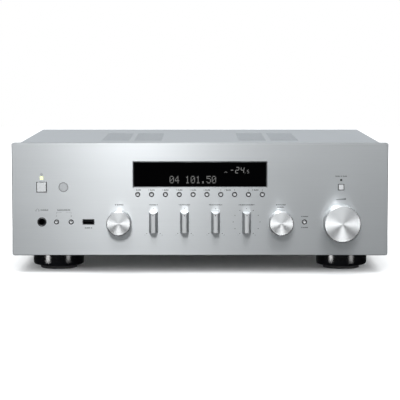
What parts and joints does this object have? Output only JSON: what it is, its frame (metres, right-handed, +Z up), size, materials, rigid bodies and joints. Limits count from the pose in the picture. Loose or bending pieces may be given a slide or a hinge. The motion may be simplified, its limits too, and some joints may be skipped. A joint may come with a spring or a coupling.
{
  "type": "stereo receiver",
  "caption": "Free-standing hi-fi receiver with a brushed aluminium front, dark display, round and bar knobs, push buttons, sockets, steel cover and round feet.",
  "frame": {"origin": "on the table, under the middle of the object's whole box", "axes": "+Z up, the front panel faces -Y, +X to the right as seen from the front"},
  "size_m": [0.435, 0.392, 0.151],
  "materials": {
    "panel_aluminium": "satin, brushed from side to side",
    "knob_aluminium": "satin, turned",
    "button_aluminium": "satin",
    "cover_paint": "fine silver paint on folded steel",
    "rear_paint": "dark grey paint",
    "zinc_steel": "zinc plated steel",
    "screw_zinc": "black zinc",
    "window_acrylic": "gloss, dark tint",
    "display_glass": "glass and white segments",
    "lamp_green": "translucent, lit",
    "sensor_smoke": "smoke grey",
    "black_plastic": "black",
    "foot_plastic": "gloss black",
    "pad_rubber": "matte",
    "port_steel": "nickel plated",
    "socket_metal": "nickel plated, dark collars",
    "board_green": "solder mask",
    "core_iron": "varnished laminations and copper wire",
    "wire_plastic": "insulation",
    "sink_aluminium": "as extruded",
    "can_sleeve": "dark sleeve",
    "rotor_brass": "turned",
    "cap_red": "clear red",
    "cap_black": "gloss black"
  },
  "bodies": {
    "receiver": {"front_panel": "panel_aluminium", "front_frame": "zinc_steel", "display_window": "window_acrylic", "display_tube": "display_glass", "indicator_lamps": "lamp_green", "sensor_window": "sensor_smoke", "phones_jack": "black_plastic", "usb_port": "port_steel", "front_board": "board_green", "rotary_controls": "zinc_steel", "front_switches": "black_plastic", "bottom_chassis": "zinc_steel", "top_cover": "cover_paint", "rear_panel": "rear_paint", "feet": "foot_plastic", "foot_pads": "pad_rubber", "transformer": "core_iron", "wiring": "wire_plastic", "heat_sink": "sink_aluminium", "output_transistors": "black_plastic", "amp_board": "board_green", "reservoir_capacitors": "can_sleeve", "signal_board": "board_green", "rca_sockets": "socket_metal", "aerial_socket": "socket_metal", "network_port": "port_steel", "speaker_terminals": "black_plastic", "ac_inlet": "black_plastic", "fasteners": "screw_zinc"},
    "power_button": {"power_button": "button_aluminium"},
    "speaker_a_button": {"speaker_a_button": "button_aluminium"},
    "speaker_b_button": {"speaker_b_button": "button_aluminium"},
    "return_button": {"return_button": "button_aluminium"},
    "direct_button": {"direct_button": "button_aluminium"},
    "input_knob": {"input_knob": "knob_aluminium"},
    "bass_knob": {"bass_knob": "knob_aluminium"},
    "treble_knob": {"treble_knob": "knob_aluminium"},
    "balance_knob": {"balance_knob": "knob_aluminium"},
    "loudness_knob": {"loudness_knob": "knob_aluminium"},
    "select_knob": {"select_knob": "knob_aluminium"},
    "volume_knob": {"volume_knob": "knob_aluminium"},
    "select_rotor": {"select_rotor": "rotor_brass"},
    "dimmer_button": {"dimmer_button": "button_aluminium"},
    "display_button": {"display_button": "button_aluminium"},
    "mode_button": {"mode_button": "button_aluminium"},
    "memory_button": {"memory_button": "button_aluminium"},
    "clear_button": {"clear_button": "button_aluminium"},
    "band_button": {"band_button": "button_aluminium"},
    "preset_down_button": {"preset_down_button": "button_aluminium"},
    "preset_up_button": {"preset_up_button": "button_aluminium"},
    "tuning_down_button": {"tuning_down_button": "button_aluminium"},
    "tuning_up_button": {"tuning_up_button": "button_aluminium"},
    "terminal_cap_1": {"terminal_cap_1": "cap_red"},
    "terminal_cap_2": {"terminal_cap_2": "cap_black"},
    "terminal_cap_3": {"terminal_cap_3": "cap_red"},
    "terminal_cap_4": {"terminal_cap_4": "cap_black"},
    "terminal_cap_5": {"terminal_cap_5": "cap_red"},
    "terminal_cap_6": {"terminal_cap_6": "cap_black"},
    "terminal_cap_7": {"terminal_cap_7": "cap_red"},
    "terminal_cap_8": {"terminal_cap_8": "cap_black"}
  },
  "joints": [
    {"name": "dimmer_button_press", "type": "slide", "parent": "receiver", "child": "dimmer_button", "axis": [0, 1, 0], "range_m": [0, 0.0008], "stiffness_N_per_m": 1200, "springref_m": -0.0004},
    {"name": "display_button_press", "type": "slide", "parent": "receiver", "child": "display_button", "axis": [0, 1, 0], "range_m": [0, 0.0008], "stiffness_N_per_m": 1200, "springref_m": -0.0004},
    {"name": "mode_button_press", "type": "slide", "parent": "receiver", "child": "mode_button", "axis": [0, 1, 0], "range_m": [0, 0.0008], "stiffness_N_per_m": 1200, "springref_m": -0.0004},
    {"name": "memory_button_press", "type": "slide", "parent": "receiver", "child": "memory_button", "axis": [0, 1, 0], "range_m": [0, 0.0008], "stiffness_N_per_m": 1200, "springref_m": -0.0004},
    {"name": "clear_button_press", "type": "slide", "parent": "receiver", "child": "clear_button", "axis": [0, 1, 0], "range_m": [0, 0.0008], "stiffness_N_per_m": 1200, "springref_m": -0.0004},
    {"name": "band_button_press", "type": "slide", "parent": "receiver", "child": "band_button", "axis": [0, 1, 0], "range_m": [0, 0.0008], "stiffness_N_per_m": 1200, "springref_m": -0.0004},
    {"name": "preset_down_button_press", "type": "slide", "parent": "receiver", "child": "preset_down_button", "axis": [0, 1, 0], "range_m": [0, 0.0008], "stiffness_N_per_m": 1200, "springref_m": -0.0004},
    {"name": "preset_up_button_press", "type": "slide", "parent": "receiver", "child": "preset_up_button", "axis": [0, 1, 0], "range_m": [0, 0.0008], "stiffness_N_per_m": 1200, "springref_m": -0.0004},
    {"name": "tuning_down_button_press", "type": "slide", "parent": "receiver", "child": "tuning_down_button", "axis": [0, 1, 0], "range_m": [0, 0.0008], "stiffness_N_per_m": 1200, "springref_m": -0.0004},
    {"name": "tuning_up_button_press", "type": "slide", "parent": "receiver", "child": "tuning_up_button", "axis": [0, 1, 0], "range_m": [0, 0.0008], "stiffness_N_per_m": 1200, "springref_m": -0.0004},
    {"name": "speaker_a_button_press", "type": "slide", "parent": "receiver", "child": "speaker_a_button", "axis": [0, 1, 0], "range_m": [0, 0.0008], "stiffness_N_per_m": 1200, "springref_m": -0.0004},
    {"name": "speaker_b_button_press", "type": "slide", "parent": "receiver", "child": "speaker_b_button", "axis": [0, 1, 0], "range_m": [0, 0.0008], "stiffness_N_per_m": 1200, "springref_m": -0.0004},
    {"name": "return_button_press", "type": "slide", "parent": "receiver", "child": "return_button", "axis": [0, 1, 0], "range_m": [0, 0.0008], "stiffness_N_per_m": 1200, "springref_m": -0.0004},
    {"name": "direct_button_press", "type": "slide", "parent": "receiver", "child": "direct_button", "axis": [0, 1, 0], "range_m": [0, 0.0008], "stiffness_N_per_m": 1200, "springref_m": -0.0004},
    {"name": "power_button_press", "type": "slide", "parent": "receiver", "child": "power_button", "axis": [0, 1, 0], "range_m": [0, 0.0035], "stiffness_N_per_m": 500, "springref_m": -0.001},
    {"name": "input_knob_turn", "type": "hinge", "parent": "receiver", "child": "input_knob", "pos_m": [-0.09352, -0.17, 0.05904], "axis": [0, 1, 0], "continuous": true},
    {"name": "bass_knob_turn", "type": "hinge", "parent": "receiver", "child": "bass_knob", "pos_m": [-0.05394, -0.17, 0.05904], "axis": [0, 1, 0], "range_deg": [-150, 150]},
    {"name": "treble_knob_turn", "type": "hinge", "parent": "receiver", "child": "treble_knob", "pos_m": [-0.01801, -0.17, 0.05904], "axis": [0, 1, 0], "range_deg": [-150, 150]},
    {"name": "balance_knob_turn", "type": "hinge", "parent": "receiver", "child": "balance_knob", "pos_m": [0.01801, -0.17, 0.05904], "axis": [0, 1, 0], "range_deg": [-150, 150]},
    {"name": "loudness_knob_turn", "type": "hinge", "parent": "receiver", "child": "loudness_knob", "pos_m": [0.05394, -0.17, 0.05904], "axis": [0, 1, 0], "range_deg": [-150, 150]},
    {"name": "volume_knob_turn", "type": "hinge", "parent": "receiver", "child": "volume_knob", "pos_m": [0.16312, -0.17, 0.05904], "axis": [0, 1, 0], "continuous": true},
    {"name": "select_rotor_turn", "type": "hinge", "parent": "receiver", "child": "select_rotor", "pos_m": [0.09352, -0.17, 0.05904], "axis": [0, 1, 0], "continuous": true},
    {"name": "select_knob_press", "type": "slide", "parent": "select_rotor", "child": "select_knob", "axis": [0, 1, 0], "range_m": [0, 0.0006], "stiffness_N_per_m": 1500, "springref_m": -0.0003},
    {"name": "terminal_cap_1_unscrew", "type": "slide", "parent": "receiver", "child": "terminal_cap_1", "axis": [0, 1, 0], "range_m": [0, 0.005]},
    {"name": "terminal_cap_2_unscrew", "type": "slide", "parent": "receiver", "child": "terminal_cap_2", "axis": [0, 1, 0], "range_m": [0, 0.005]},
    {"name": "terminal_cap_3_unscrew", "type": "slide", "parent": "receiver", "child": "terminal_cap_3", "axis": [0, 1, 0], "range_m": [0, 0.005]},
    {"name": "terminal_cap_4_unscrew", "type": "slide", "parent": "receiver", "child": "terminal_cap_4", "axis": [0, 1, 0], "range_m": [0, 0.005]},
    {"name": "terminal_cap_5_unscrew", "type": "slide", "parent": "receiver", "child": "terminal_cap_5", "axis": [0, 1, 0], "range_m": [0, 0.005]},
    {"name": "terminal_cap_6_unscrew", "type": "slide", "parent": "receiver", "child": "terminal_cap_6", "axis": [0, 1, 0], "range_m": [0, 0.005]},
    {"name": "terminal_cap_7_unscrew", "type": "slide", "parent": "receiver", "child": "terminal_cap_7", "axis": [0, 1, 0], "range_m": [0, 0.005]},
    {"name": "terminal_cap_8_unscrew", "type": "slide", "parent": "receiver", "child": "terminal_cap_8", "axis": [0, 1, 0], "range_m": [0, 0.005]}
  ]
}
